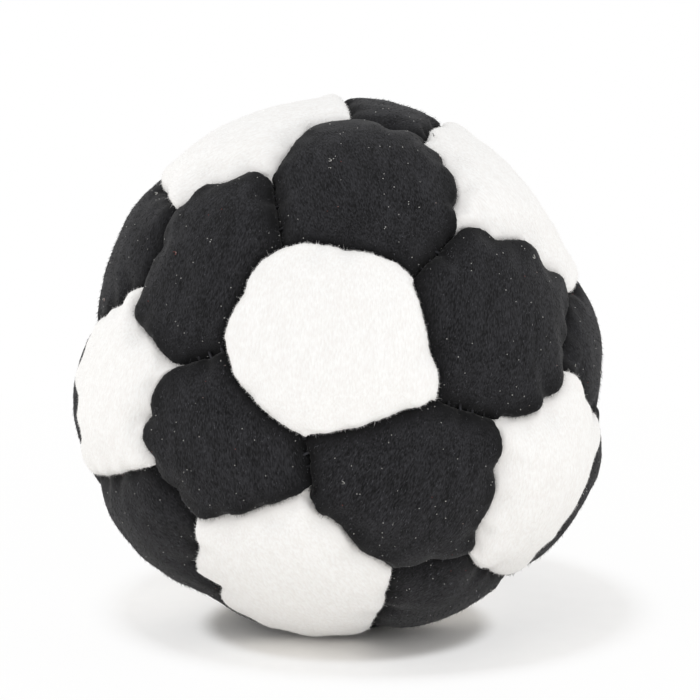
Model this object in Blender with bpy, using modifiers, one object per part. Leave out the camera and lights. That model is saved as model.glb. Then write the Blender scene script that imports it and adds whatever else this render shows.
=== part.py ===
"""Footbag: a sand-filled ball of 12 pentagon and 20 hexagon panels of synthetic suede, sewn edge to edge.

Run with: blender --background --python part.py
Metres, +Z up. The origin is on the ground under the middle of the ball's width and depth. The ball has
settled a little and rests on a flat spot of its own. The front, as photographed, faces -Y.
"""

import math
import random

import bmesh
import bpy
from mathutils import Matrix, Vector

MM = 0.001
PERCENT = 100

# Driving sizes of the ball
BALL_DIAMETER = 54.0 * MM
FLAT_DEPTH = 1.5 * MM  # how far the ground pushes the lowest point up
FLAT_BLEND = 0.3 * MM  # height over which the flat spot rounds into the side
NARROW_SHARE = 0.027  # how much less wide than tall the ball is
SETTLE_SHARE = 0.055  # drawing-in of the upper half and swelling of the lower half

# Where the sand lies unevenly, as (azimuth, height angle, spread) in degrees and how far it stands out
LUMPS = (
    (-101, 41, 20, 0.80 * MM),
    (92, 16, 11, 0.60 * MM),
    (88, -7, 10, -0.80 * MM),
    (140, 74, 16, -0.35 * MM),
    (80, -43, 10, 0.35 * MM),
    (-88, -3, 14, 0.50 * MM),
)
SIDE_SHIFT = 0.55 * MM  # to the right, because the lumps reach further to the left

# The panels
PANEL_THICKNESS = 0.9 * MM
SEAM_DEPTH = 1.4 * MM  # from a panel's crown down to the fold of its seams
EDGE_ROLL = 5.0 * MM  # width over which a panel rounds down into a seam
ALLOWANCE = 1.5 * MM  # edge turned in below the fold
FIT_GAP = 0.40 * MM  # between pieces that lie against each other
PENTAGON_CUT_SHARE = 0.383  # share of an icosahedron's edge that a pentagon takes at each end
FRONT_BOW = 0.7 * MM  # how far the front pentagon's seams bow outward
HAND_DRIFT = 0.4 * MM  # how far a hand-sewn corner strays where the photograph doesn't show it
DRIFT_SEED = 7

# The thread along the ridge of each pair of turned-in edges
THREAD_DIAMETER = 0.6 * MM
THREAD_DROP = 0.50 * MM  # clear height between the turned-in edges and the thread

# The sand
SAND_GAP = 0.60 * MM  # to the inner face of a panel's crown
SAND_WALL_LEAN = 0.25 * MM  # how far the sand's wall beside a seam leans in, foot to shoulder

# How finely the seams and the panels' edge roll are divided
SEAM_FACETS = 3
HIDDEN_FACETS = 2
ROLL_RING_SHARES = (0.12, 0.5, 1.0)  # of EDGE_ROLL, from the fold to the crown
CROWN_RING_SHARE = 0.45  # of the way from the end of the roll to a panel's middle

# How the ball lies: where its front pentagon faces, and how that pentagon is turned
FRONT_TURN = math.radians(-0.6)
FRONT_LIFT = math.radians(18.0)
FRONT_SPIN = math.radians(30.1)

# Corners that the photograph shows, as (azimuth, height angle) in degrees from the ball's middle,
# azimuth 0 to the front and positive to the right
FRONT_PENTAGON_CORNERS = ((-17.5, 36.4), (19.3, 29.5), (20.9, 3.8), (-7.9, -3.3), (-27.3, 13.7))
GROOVE_END_CORNERS = ((-29.3, 54.7), (36.4, 39.0), (35.0, -1.7), (-6.2, -13.3), (-39.0, 9.4))
FAR_CORNERS = (
    (10.6, 80.5), (58.0, 66.0), (76.4, 19.7), (59.1, 5.0), (33.7, -33.5),
    (13.0, -36.3), (-34.9, -23.6), (-45.2, -13.1), (-61.0, 23.6), (-63.5, 41.8),
)
OUTLINE_CORNERS = (
    (-95.3, 46.2), (-174.8, 80.0), (108.0, 63.7), (90.3, 21.2),
    (-77.6, -20.9), (17.5, -68.0), (63.6, -45.5), (79.4, -10.4),
)

BALL_RADIUS = BALL_DIAMETER / 2
CENTRE_HEIGHT = BALL_RADIUS - FLAT_DEPTH
FOLD_RADIUS = BALL_RADIUS - SEAM_DEPTH
EDGE_RADIUS = FOLD_RADIUS - ALLOWANCE
THREAD_RADIUS = EDGE_RADIUS - THREAD_DROP - THREAD_DIAMETER / 2
VALLEY_RADIUS = THREAD_RADIUS - THREAD_DIAMETER / 2 - FIT_GAP
SAND_FOOT_INSET = FIT_GAP / 2 + PANEL_THICKNESS + FIT_GAP
SAND_DEPTH = PANEL_THICKNESS + SAND_GAP

WHITE_SUEDE = ("white_suede", (0.86, 0.85, 0.82, 1.0), 0.95)
BLACK_SUEDE = ("black_suede", (0.012, 0.012, 0.014, 1.0), 0.95)
BLACK_THREAD = ("black_thread", (0.02, 0.02, 0.02, 1.0), 0.6)
SAND = ("sand", (0.60, 0.50, 0.36, 1.0), 0.9)


def clear_scene():
    for obj in list(bpy.data.objects):
        bpy.data.objects.remove(obj, do_unlink=True)


def material(recipe):
    name, colour, roughness = recipe
    made = bpy.data.materials.get(name) or bpy.data.materials.new(name)
    made.use_nodes = True
    made.diffuse_color = colour
    shader = made.node_tree.nodes["Principled BSDF"]
    shader.inputs["Base Color"].default_value = colour
    shader.inputs["Roughness"].default_value = roughness
    return made


def add_object(name, bm, collection, recipe):
    mesh = bpy.data.meshes.new(name)
    bm.to_mesh(mesh)
    bm.free()
    mesh.shade_smooth()
    mesh.materials.append(material(recipe))
    obj = bpy.data.objects.new(name, mesh)
    collection.objects.link(obj)
    return obj


def settled(point, floor=0.0):
    """Where the resting ball has a point of the round ball: at least `floor` above the ground."""
    out = point.normalized()
    for azimuth, height_angle, spread, rise in LUMPS:
        away = (1 - out.dot(direction_of(azimuth, height_angle))) / (1 - math.cos(math.radians(spread)))
        point = point + out * rise * math.exp(-away)
    draw = 1 - NARROW_SHARE - SETTLE_SHARE * math.sin(math.pi * point.z / BALL_RADIUS)
    height = point.z + CENTRE_HEIGHT - floor
    if height < -FLAT_BLEND:
        height = 0.0
    elif height < FLAT_BLEND:
        height = (height + FLAT_BLEND) ** 2 / (4 * FLAT_BLEND)
    return Vector((point.x * draw + SIDE_SHIFT, point.y * draw, height + floor))


def crown_radius(inset):
    """The outer radius of a panel at a distance from the fold of its seams: a quarter round."""
    rise = math.sqrt(1 - (1 - min(inset / EDGE_ROLL, 1)) ** 2)
    return FOLD_RADIUS + SEAM_DEPTH * rise


def direction_of(azimuth, height_angle):
    turn = math.radians(azimuth)
    lift = math.radians(height_angle)
    return Vector((math.sin(turn) * math.cos(lift), -math.cos(turn) * math.cos(lift), math.sin(lift)))


def corner_net():
    """The panels' corners and seams on the fold's ball: an icosahedron with its corners cut back."""
    net = bmesh.new()
    bmesh.ops.create_icosphere(net, subdivisions=1, radius=1)
    bmesh.ops.bevel(
        net, geom=net.verts[:], offset=PENTAGON_CUT_SHARE * PERCENT, offset_type="PERCENT",
        segments=1, affect="VERTICES",
    )
    lie = (
        Matrix.Rotation(FRONT_TURN, 3, "Z")
        @ Matrix.Rotation(-FRONT_LIFT, 3, "X")
        @ Matrix.Rotation(FRONT_SPIN, 3, "Y")
        @ Matrix.Rotation(math.pi / 2, 3, "X")
    )
    free = []
    for vert in net.verts:
        vert.co = (lie @ vert.co).normalized()
        free.append(vert)
    for angles in FRONT_PENTAGON_CORNERS + GROOVE_END_CORNERS + FAR_CORNERS + OUTLINE_CORNERS:
        seen = direction_of(*angles)
        nearest = max(free, key=lambda vert: vert.co.dot(seen))
        nearest.co = seen
        free.remove(nearest)
    draw = random.Random(DRIFT_SEED)
    stray = HAND_DRIFT / FOLD_RADIUS
    for vert in sorted(free, key=lambda vert: (round(vert.co.z, 3), round(vert.co.x, 3))):
        vert.co += Vector([draw.uniform(-stray, stray) for _ in range(3)])
    for vert in net.verts:
        vert.co = vert.co.normalized() * FOLD_RADIUS
    return net


def seam_net(facets):
    """The net with every seam divided, its points on the fold's ball."""
    net = corner_net()
    pentagons = [face for face in net.faces if len(face.verts) == 5]
    front = min(pentagons, key=lambda face: face.calc_center_median().y)
    middle = front.calc_center_median()
    joints = set(net.verts)
    bmesh.ops.subdivide_edges(net, edges=net.edges[:], cuts=facets - 1)
    for vert in net.verts:
        if vert not in joints and any(face == front for face in vert.link_faces):
            vert.co += (vert.co - middle).normalized() * FRONT_BOW
        vert.co = vert.co.normalized() * FOLD_RADIUS
    return net


def middle_of(outline):
    """An outline's middle, and the distance from there to the outline."""
    middle = sum(outline, Vector()) / len(outline)
    return middle, min((point - middle).length for point in outline)


def add_ring(bm, face, outline, inset, radius):
    """Draws a face in: its corners go to a distance from its outline and from the ball's middle."""
    bmesh.ops.inset_individual(bm, faces=[face], thickness=0.0)
    middle, reach = middle_of(outline)
    for vert, point in zip(face.verts, outline):
        vert.co = point.lerp(middle, inset / reach).normalized() * radius


def add_peak(bm, face, radius):
    """Fans a face out from a corner at its middle."""
    peak = bmesh.ops.poke(bm, faces=[face])["verts"][0]
    peak.co = peak.co.normalized() * radius
    return peak


def panel(name, face, collection, recipe):
    """A panel: its crown, rolled down on every side to a fold, and the allowance turned in below."""
    bm = bmesh.new()
    crown = bm.faces.new([bm.verts.new(vert.co) for vert in face.verts])
    crown.normal_update()
    strip = bmesh.ops.inset_individual(bm, faces=[crown], thickness=FIT_GAP / 2, use_even_offset=True)
    bmesh.ops.delete(bm, geom=strip["faces"], context="FACES")
    outline = [vert.co.normalized() * FOLD_RADIUS for vert in crown.verts]
    for vert, point in zip(crown.verts, outline):
        vert.co = point
    insets = [share * EDGE_ROLL for share in ROLL_RING_SHARES]
    insets.append(EDGE_ROLL + CROWN_RING_SHARE * (middle_of(outline)[1] - EDGE_ROLL))
    for inset in insets:
        add_ring(bm, crown, outline, inset, crown_radius(inset))
    peak = add_peak(bm, crown, BALL_RADIUS)
    fold = [edge for edge in bm.edges if edge.is_boundary]
    for vert in bmesh.ops.extrude_edge_only(bm, edges=fold)["geom"]:
        if isinstance(vert, bmesh.types.BMVert):
            vert.co = vert.co.normalized() * EDGE_RADIUS
    bmesh.ops.recalc_face_normals(bm, faces=bm.faces)
    bm.normal_update()
    if peak.normal.dot(peak.co) < 0:
        bmesh.ops.reverse_faces(bm, faces=bm.faces)
    for vert in bm.verts:
        vert.co = settled(vert.co)
    obj = add_object(name, bm, collection, recipe)
    thickness = obj.modifiers.new("thickness", "SOLIDIFY")
    thickness.thickness = PANEL_THICKNESS
    thickness.offset = -1.0
    thickness.use_even_offset = True
    return obj


def thread(collection):
    """The thread: one network that follows all the seams just below the turned-in edges."""
    bm = seam_net(HIDDEN_FACETS)
    for vert in bm.verts:
        vert.co = vert.co.normalized() * THREAD_RADIUS
    bm.normal_update()
    panels = bm.faces[:]
    bmesh.ops.inset_individual(bm, faces=panels, thickness=THREAD_DIAMETER / 2, use_even_offset=True)
    bmesh.ops.delete(bm, geom=panels, context="FACES")
    for vert in bm.verts:
        vert.co = settled(vert.co.normalized() * THREAD_RADIUS)
    bmesh.ops.recalc_face_normals(bm, faces=bm.faces)
    obj = add_object("seam_thread", bm, collection, BLACK_THREAD)
    strand = obj.modifiers.new("strand", "SOLIDIFY")
    strand.thickness = THREAD_DIAMETER
    strand.offset = 0.0
    strand.use_even_offset = True
    return obj


def sand(collection):
    """The sand: one body that fills every panel up to its inner face and dips below every seam."""
    bm = seam_net(HIDDEN_FACETS)
    for vert in bm.verts:
        vert.co = vert.co.normalized() * VALLEY_RADIUS
    shoulder = SAND_FOOT_INSET + SAND_WALL_LEAN
    for face in bm.faces[:]:
        outline = [vert.co.copy() for vert in face.verts]
        add_ring(bm, face, outline, SAND_FOOT_INSET, VALLEY_RADIUS)
        for inset in (shoulder, EDGE_ROLL):
            add_ring(bm, face, outline, inset, crown_radius(inset - FIT_GAP / 2) - SAND_DEPTH)
        add_peak(bm, face, BALL_RADIUS - SAND_DEPTH)
    for vert in bm.verts:
        vert.co = settled(vert.co, floor=SAND_DEPTH)
    bmesh.ops.recalc_face_normals(bm, faces=bm.faces)
    return add_object("sand_fill", bm, collection, SAND)


def main():
    clear_scene()
    collection = bpy.data.collections.new("footbag")
    bpy.context.scene.collection.children.link(collection)
    net = seam_net(SEAM_FACETS)
    for corners, kind, recipe in ((5, "pentagon", WHITE_SUEDE), (6, "hexagon", BLACK_SUEDE)):
        faces = [face for face in net.faces if len(face.verts) == corners * SEAM_FACETS]
        faces.sort(key=lambda face: face.calc_center_median().normalized().y)
        for number, face in enumerate(faces, start=1):
            panel(f"{kind}_panel_{number:02d}", face, collection, recipe)
    net.free()
    thread(collection)
    sand(collection)


if __name__ == "__main__":
    main()
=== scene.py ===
"""Footbag: the looks of a sand-filled ball sewn by hand from 12 white and 20 black panels of synthetic suede.

Laid out as a Blender add-on and run as a script. Metres, +Z up. The ball rests on the ground at the
origin and its front, as photographed, faces -Y.
"""

import math
import random

import bmesh
import bpy
import numpy as np
from bpy.props import FloatProperty, FloatVectorProperty, PointerProperty
from mathutils import Matrix, Vector, kdtree, noise


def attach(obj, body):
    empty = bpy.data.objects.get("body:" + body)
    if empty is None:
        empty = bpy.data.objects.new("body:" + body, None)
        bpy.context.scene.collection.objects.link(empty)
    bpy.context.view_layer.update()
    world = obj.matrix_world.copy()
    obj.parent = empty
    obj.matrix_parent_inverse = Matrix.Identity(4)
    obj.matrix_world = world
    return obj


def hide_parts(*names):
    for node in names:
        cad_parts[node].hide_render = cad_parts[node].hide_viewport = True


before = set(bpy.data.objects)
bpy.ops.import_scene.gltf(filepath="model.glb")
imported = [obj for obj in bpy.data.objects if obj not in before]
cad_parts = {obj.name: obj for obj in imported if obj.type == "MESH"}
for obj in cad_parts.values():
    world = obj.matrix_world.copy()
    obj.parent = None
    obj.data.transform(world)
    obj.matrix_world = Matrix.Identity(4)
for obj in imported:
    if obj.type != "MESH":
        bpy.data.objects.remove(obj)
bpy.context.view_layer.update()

bl_info = {
    "name": "Sewn Footbag",
    "version": (1, 0, 0),
    "blender": (4, 5, 0),
    "location": "3D View > Sidebar > Footbag",
    "description": "A sand-filled footbag of suede panels, with its seams, nap, lint and stage",
    "category": "Add Mesh",
}

MM = 0.001
PERCENT = 100

WHITE, BLACK = "white", "black"
SIDES = {5: WHITE, 6: BLACK}

# How the ball has settled
FLAT_DEPTH = 1.5 * MM  # how far the ground pushes the lowest point up
FLAT_BLEND = 0.3 * MM  # height over which the flat spot rounds into the side
NARROW_SHARE = 0.027  # how much less wide than tall the ball is
SETTLE_SHARE = 0.055  # drawing-in of the upper half and swelling of the lower half

# Where the sand lies unevenly, as (azimuth, height angle, spread) in degrees and how far it stands out
LUMPS = (
    (-101, 41, 20, 0.80 * MM),
    (92, 16, 11, 0.60 * MM),
    (88, -7, 10, -0.80 * MM),
    (140, 74, 16, -0.35 * MM),
    (80, -43, 10, 0.35 * MM),
    (-88, -3, 14, 0.50 * MM),
    (175, 79, 9, 0.85 * MM),
    (118, 65, 9, 0.45 * MM),
    (82, -18, 9, 0.55 * MM),
)
SIDE_SHIFT = 0.55 * MM  # to the right, because the lumps reach further to the left

# The net of seams
PENTAGON_CUT_SHARE = 0.383  # share of an icosahedron's edge that a pentagon takes at each end
HAND_DRIFT = 0.4 * MM  # how far a hand-sewn corner strays where the photograph doesn't show it
DRIFT_SEED = 7
FRONT_TURN = math.radians(-0.6)
FRONT_LIFT = math.radians(18.0)
FRONT_SPIN = math.radians(30.1)

# Corners that the photograph shows, as (azimuth, height angle) in degrees from the ball's middle,
# azimuth 0 to the front and positive to the right
FRONT_PENTAGON_CORNERS = ((-17.5, 36.4), (19.3, 29.5), (20.9, 3.8), (-7.9, -3.3), (-27.3, 13.7))
GROOVE_END_CORNERS = ((-29.3, 54.7), (36.4, 39.0), (35.0, -1.7), (-6.2, -13.3), (-39.0, 9.4))
FAR_CORNERS = (
    (10.6, 80.5), (58.0, 66.0), (76.4, 19.7), (59.1, 5.0), (33.7, -33.5),
    (13.0, -36.3), (-34.9, -23.6), (-45.2, -13.1), (-61.0, 23.6), (-63.5, 41.8),
)
OUTLINE_CORNERS = (
    (-95.3, 46.2), (-174.8, 80.0), (108.0, 63.7), (90.3, 21.2),
    (-77.6, -20.9), (17.5, -68.0), (63.6, -45.5), (79.4, -10.4),
)

# Seams whose line the photograph shows, each under the direction of its middle, as (azimuth, height
# angle) in degrees. For each place where a stitch pulls, from left to right, its values are the share
# along the seam, how far the place lies off a straight line, away from the front, and how far the
# suede bulges before the next pull, both in millimetres.
SEAM_LINES = {
    (6, 0): ((0, 0, 0), (0.04, -0.3, 0), (0.2, -0.1, 0), (0.5, 0, 0), (0.75, -0.25, 0.1), (0.96, -0.25, 0)),
    (-17, 5): ((0, 0, 0), (0.18, 0.85, 0.05), (0.44, 0.9, 0), (0.65, 0.85, 0), (0.93, 0.1, 0)),
    (20, 17): ((0, 0, 0), (0.05, -0.4, 0), (0.2, -0.15, 0), (0.62, 0.1, 0), (0.78, 0.55, 0)),
    (2, 34): ((0, 0, 0), (0.24, 0.95, 0), (0.48, 0.85, 0.1), (0.85, 0.85, 0)),
    (-23, 25): ((0, 0, 0), (0.09, 0.95, 0.05), (0.5, 1.15, 0.1), (0.82, 1.25, 0), (0.95, 0.5, 0)),
    (-24, -65): ((0, 0, 2.0),),
    (-40, -39): (
        (0, 0, 0), (0.25, -0.05, 0), (0.34, 0.2, 0), (0.43, 0.7, 0), (0.5, 0.95, 0), (0.605, 1.2, 0),
        (0.62, -1.8, 0), (0.64, -1.5, 0), (0.69, -1.2, 0), (0.78, -0.65, 0), (0.87, -0.2, 0),
    ),
    (14, -52): ((0, 0, -0.45), (0.45, -0.3, -0.2)),
    (2, -25): (
        (0, 0, 0), (0.03, 0.9, 0), (0.12, 1.15, 0.1), (0.24, 1.3, 0), (0.31, 0.85, 0),
        (0.42, 0.5, 0), (0.68, 0.8, 0), (0.84, 0, 0), (0.93, -0.1, 0),
    ),
    (-20, -19): ((0, 0, 0.2), (0.3, 0.3, 0.2), (0.6, 0.35, 0.25)),
    (-74, 17): (
        (0, 0, 0), (0.03, -0.1, 0), (0.12, -0.5, 0), (0.45, -0.6, 0), (0.63, -0.6, 0),
        (0.68, -0.4, 0), (0.72, 0.1, 0), (0.86, 0.1, 0),
    ),
    (-61, -18): ((0, 0, 0.25), (0.2, 0.1, 0.05), (0.6, 0, -0.15)),
    (-42, -2): ((0, 0, 0), (0.08, 0.1, 1.3), (0.46, 1.5, 1.35)),
    (-50, 17): (
        (0, 0, 0), (0.05, 0.9, 0), (0.1, 1.9, 0.25), (0.4, 2.0, 0), (0.57, 1.4, 0),
        (0.8, 1.2, 0), (0.9, 0.8, 0),
    ),
    (126, 89): ((0, 0, 0.2),),
    (-79, 45): ((0, 0, 0.6), (0.5, 0.25, -0.05)),
    (-49, 50): (
        (0, 0, -0.4), (0.2, 0, 0), (0.35, 1.55, 0.05), (0.5, 1.05, 0), (0.6, 0.95, 0),
        (0.7, 1.5, 0), (0.78, 1.6, 0), (0.93, 0.8, 0),
    ),
    (-21, 68): (
        (0, 0, 0), (0.1, 0.25, 0), (0.24, 0.85, 0), (0.33, 0.85, 0), (0.45, 1.4, 0),
        (0.6, 1.65, 0), (0.72, 2.0, 0), (0.8, 1.7, 0), (0.86, 1.2, 0), (0.93, 0.45, 0),
    ),
    (83, 21): ((0, 0, 0.5),),
    (84, 67): ((0, 0, 0.3), (0.5, 0.4, 0.2)),
    (44, 53): ((0, 0, -1.2), (0.19, 0, 0.35), (0.37, 0, 0.85), (0.76, 0.1, -0.1)),
    (58, 31): (
        (0, 0, 0), (0.05, 0.9, 0), (0.16, 1.4, 0), (0.23, 1.25, 0), (0.27, 0.6, 0), (0.36, 1.05, 0),
        (0.5, 1.9, 0), (0.65, 1.95, 0), (0.69, 0.6, 0), (0.77, 0.6, 0), (0.93, 1.3, 0),
    ),
    (73, -28): (
        (0, 0, 0), (0.2, -0.4, 0), (0.36, 0.6, 0), (0.48, 0.5, 0), (0.62, -0.6, 0), (0.76, -1.2, 0),
        (0.9, -0.4, 0),
    ),
    (47, -40): ((0, 0, 0.4), (0.42, 0.4, 0.35)),
    (69, -3): ((0, 0, 0.75), (0.44, -0.1, 0), (0.6, -0.3, 0), (0.76, -0.75, 0), (0.83, 0.1, 0.5)),
    (47, 2): ((0, 0, 0), (0.12, 0.1, 0.75), (0.62, 0.75, 0.55)),
    (34, -18): ((0, 0, 0), (0.18, -0.2, -0.3), (0.36, 0.1, 0.25), (0.68, 0.1, 0.4)),
}
SAME_SEAM = math.cos(math.radians(3))  # how near a seam's middle is to its direction above

# How finely the suede is divided: a coarse weave for the cloth, two halvings for what shows
CAGE_LEVELS = 4
FINE_LEVELS = 2
EDGE_CROWDING = 1.35  # draws the weave's rows towards the seams, where the suede bends most
CALM_SHARE = 0.3  # of the scallop, on seams other than those where black lies over white

# Where two panels meet, the upper one's edge overhangs the seam and stands above the lower one
OVERHANG = {WHITE: 0.15 * MM, BLACK: -0.05 * MM}
LINE_REACH = 1.2 * MM  # how far into a panel its rim's last move onto the seam's line is felt
GROOVE_SINK = 0.3 * MM  # how much deeper than the others a seam between two black panels lies
GROOVE_STAND = 0.3  # share of the usual bulges between its pulls that such a seam shows
LAP_RISE = 0.35 * MM
LAP_REACH = 1.2 * MM
CRISP_SHARE = 0.6  # how much sharper than other folds that upper edge is turned
SEAM_SHADE_REACH = 1.3 * MM  # how far from a seam the nap's colour is darkened: painted shade
UPPER_EDGE_UNSHADED = 0.8  # share of that painted seam shade left off at a white panel's edge where it lies on top

# How far into a panel its seams' lines and pulls are felt
SWAY_REACH = 2.2 * MM
PULL_REACH = 1.5 * MM
RIPPLE_REACH = 1.2 * MM
RIPPLE_SHARE = 0.35
DIP_POWER = 2.0  # how the slope under a neighbour's edge flattens out towards the crown

# The thread, wound over the ridge where two allowances lie side by side
THREAD_DIAMETER = 0.3 * MM
STITCH_LENGTH = 1.3 * MM
STITCH_HALF_WIDTH = 1.05 * MM
STITCH_HALF_HEIGHT = 0.7 * MM
RIDGE_RISE = 0.15 * MM  # from the cut edges up to the middle of the winding
POINTS_A_STITCH = 10

# The sand
SAND_GAP = 0.3 * MM  # to the suede's inner face
SAND_DIP = 1.4 * MM  # below the cut edges of the allowances
SAND_WALL = 0.6 * MM  # width over which the sand rises beside a seam
SAND_GRAIN = 0.4 * MM

# How fine the finishes are
MATT_SPECULAR = 0.1
NAP_LIE = (1, 0.3, 1)  # the nap is brushed up a panel, so its streaks are longer that way
CLOUD_SIZE = 1.1 * MM
CLOUD_SHARE = 0.3
FRAY = 0.11 * MM  # how far the turned edge strays, and between its strays
FRAY_SPACING = 0.38 * MM
FIBRE_BUNDLE = 0.4 * MM
LINT_SPACING = 4 * MM
PLY_WIDTH = 0.15 * MM
PLY_RELIEF = 0.03 * MM
GRAIN_RELIEF = 0.12 * MM
SHEEN_ROUGHNESS = 0.45
WAVES_A_METRE = 0.05
ROLLER_MARK = 3 * MM

# Where the camera sees the floor pale, and its shadow with it: away from a middle, at a stretch, from
# one distance to another, and by how much. The shadow's core lies a little to the front and the right.
FLOOR_PALES = (
    ((1 * MM, -2.5 * MM, 0), (1, 1, 1), (12.5 * MM, 15.5 * MM), 0.58),
    ((4 * MM, 4 * MM, 0), (1, 1, 1), (18.5 * MM, 30 * MM), 0.96),
    ((0, 0, 0), (1, 1, 1), (60 * MM, 110 * MM), 1.0),
)
CLEAR_HEIGHT = 0.7 * MM  # no fibre grows below this, where it would reach into the ground
ALL_OVER = 100 * MM


def linear(code):
    """A colour written as sRGB hex, in the linear values that Blender works in."""
    channels = [int(code[i:i + 2], 16) / 255 for i in (1, 3, 5)]
    return tuple(c / 12.92 if c <= 0.04045 else ((c + 0.055) / 1.055) ** 2.4 for c in channels)


def length(name, description, value, low=0.0, high=0.2):
    return FloatProperty(
        name=name, description=description, default=value, min=low, max=high,
        unit="LENGTH", subtype="DISTANCE", precision=5,
    )


def colour(name, description, code):
    return FloatVectorProperty(
        name=name, description=description, default=linear(code), subtype="COLOR", min=0, max=1,
    )


class FootbagSizes(bpy.types.PropertyGroup):
    """Sizes of the footbag that can be set."""

    ball_diameter: length("Ball Diameter", "Over the panels' crowns, before the ball settles", 54 * MM)
    seam_depth: length("Seam Depth", "From a panel's crown down to the fold of its seams", 1.4 * MM)
    edge_roll: length("Edge Roll", "Width over which a panel rounds down where it lies on top", 3.4 * MM)
    edge_dip: length("Edge Dip", "Width over which a panel slopes down under its neighbour", 6.5 * MM)
    fold_round: length("Fold Radius", "Radius of the folded edge that is turned into a seam", 0.75 * MM)
    suede_thickness: length("Suede Thickness", "Thickness of the synthetic suede", 0.85 * MM)
    allowance: length("Allowance", "Edge turned in below the fold", 1.5 * MM)
    seam_gap: length("Seam Gap", "Between two folded edges that are sewn together", 0.08 * MM)
    stitch_spacing: length("Stitch Pull Spacing", "Between two places where the thread pulls in", 3.4 * MM)
    scallop: length("Scallop", "How far black suede bulges over white between two pulls", 0.7 * MM)
    pucker: length("Pucker", "Depth to which a stitch pulls the edge of a panel in", 0.45 * MM)
    dimple: length("Dimple", "Width of the dimple at a deep pull", 0.9 * MM)


class FootbagColours(bpy.types.PropertyGroup):
    """Colours of the footbag and its stage that can be set."""

    # The pressed colours are the dark end of the nap's grain, and also the painted shade laid beside every seam
    white_dark_nap_and_seam_shade: colour("White Pressed", "White nap that is pressed down", "#F5F3F1")
    white_raised: colour("White Raised", "White nap that stands up", "#FDFDFC")
    black_dark_nap_and_seam_shade: colour("Black Pressed", "Black nap that is pressed down", "#171718")
    black_raised: colour("Black Raised", "Black nap that stands up", "#353538")
    black_tips: colour("Black Fibre Tips", "The palest fibres in the black nap", "#838389")
    lint: colour("Lint", "Specks and hairs caught in the nap", "#D9D8D4")
    red_lint: colour("Red Lint", "The few specks that are tinged with red", "#8A4A44")
    thread: colour("Thread", "Waxed thread in the seams", "#1C1C1E")
    thread_shine: colour("Thread Plies", "Where a ply of the thread catches light", "#38383C")
    sand: colour("Sand", "The filling", "#C0AA86")
    dark_sand: colour("Dark Sand", "The filling's darker grains", "#8A7355")
    floor: colour("Floor", "The pale surface it lies on", "#FDFBF8")
    floor_mark: colour("Floor Marks", "The roller marks in that surface", "#FAF8F5")


def direction_of(azimuth, height_angle):
    turn = math.radians(azimuth)
    lift = math.radians(height_angle)
    return Vector((math.sin(turn) * math.cos(lift), -math.cos(turn) * math.cos(lift), math.sin(lift)))


def unit(vectors):
    return vectors / np.linalg.norm(vectors, axis=-1, keepdims=True)


def smooth(share):
    """Eases a share from 0 to 1, and holds it there beyond."""
    share = np.clip(share, 0, 1)
    return share * share * (3 - 2 * share)


def corner_net():
    """The panels' corners and seams on a ball of radius 1: an icosahedron with its corners cut back."""
    net = bmesh.new()
    bmesh.ops.create_icosphere(net, subdivisions=1, radius=1)
    bmesh.ops.bevel(
        net, geom=net.verts[:], offset=PENTAGON_CUT_SHARE * PERCENT, offset_type="PERCENT",
        segments=1, affect="VERTICES",
    )
    lie = (
        Matrix.Rotation(FRONT_TURN, 3, "Z")
        @ Matrix.Rotation(-FRONT_LIFT, 3, "X")
        @ Matrix.Rotation(FRONT_SPIN, 3, "Y")
        @ Matrix.Rotation(math.pi / 2, 3, "X")
    )
    free = []
    for vert in net.verts:
        vert.co = (lie @ vert.co).normalized()
        free.append(vert)
    for angles in FRONT_PENTAGON_CORNERS + GROOVE_END_CORNERS + FAR_CORNERS + OUTLINE_CORNERS:
        seen = direction_of(*angles)
        nearest = max(free, key=lambda vert: vert.co.dot(seen))
        nearest.co = seen
        free.remove(nearest)
    draw = random.Random(DRIFT_SEED)
    stray = HAND_DRIFT / fold_radius()
    for vert in sorted(free, key=lambda vert: (round(vert.co.z, 3), round(vert.co.x, 3))):
        vert.co += Vector([draw.uniform(-stray, stray) for _ in range(3)])
    for vert in net.verts:
        vert.co.normalize()
    net.verts.index_update()
    net.faces.index_update()
    return net


def sizes():
    return bpy.context.scene.footbag_sizes


def colours():
    return bpy.context.scene.footbag_colours


def ball_radius():
    return sizes().ball_diameter / 2


def fold_radius():
    return ball_radius() - sizes().seam_depth


def ball_middle():
    return Vector((SIDE_SHIFT, 0, ball_radius() - FLAT_DEPTH))


def settled(points, floor=0.0):
    """Where the resting ball has points of the round ball: at least `floor` above the ground."""
    out = unit(points)
    for azimuth, height_angle, spread, rise in LUMPS:
        away = 1 - out @ np.array(direction_of(azimuth, height_angle))
        swell = rise * np.exp(-away / (1 - math.cos(math.radians(spread))))
        points = points + out * swell[:, None]
    draw = 1 - NARROW_SHARE - SETTLE_SHARE * np.sin(np.pi * points[:, 2] / ball_radius())
    height = points[:, 2] + ball_radius() - FLAT_DEPTH - floor
    eased = (height + FLAT_BLEND) ** 2 / (4 * FLAT_BLEND)
    height = np.where(height < -FLAT_BLEND, 0, np.where(height < FLAT_BLEND, eased, height))
    return np.column_stack([points[:, 0] * draw + SIDE_SHIFT, points[:, 1] * draw, height + floor])


def between(pulls, share):
    """The gap between two pulls that a share along a seam lies in, and how far the suede bulges there."""
    gap = np.clip(np.searchsorted(pulls, share, side="right") - 1, 0, len(pulls) - 2)
    part = (share - pulls[gap]) / (pulls[gap + 1] - pulls[gap])
    return gap, np.sin(np.pi * np.clip(part, 0, 1)) ** 0.75


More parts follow.
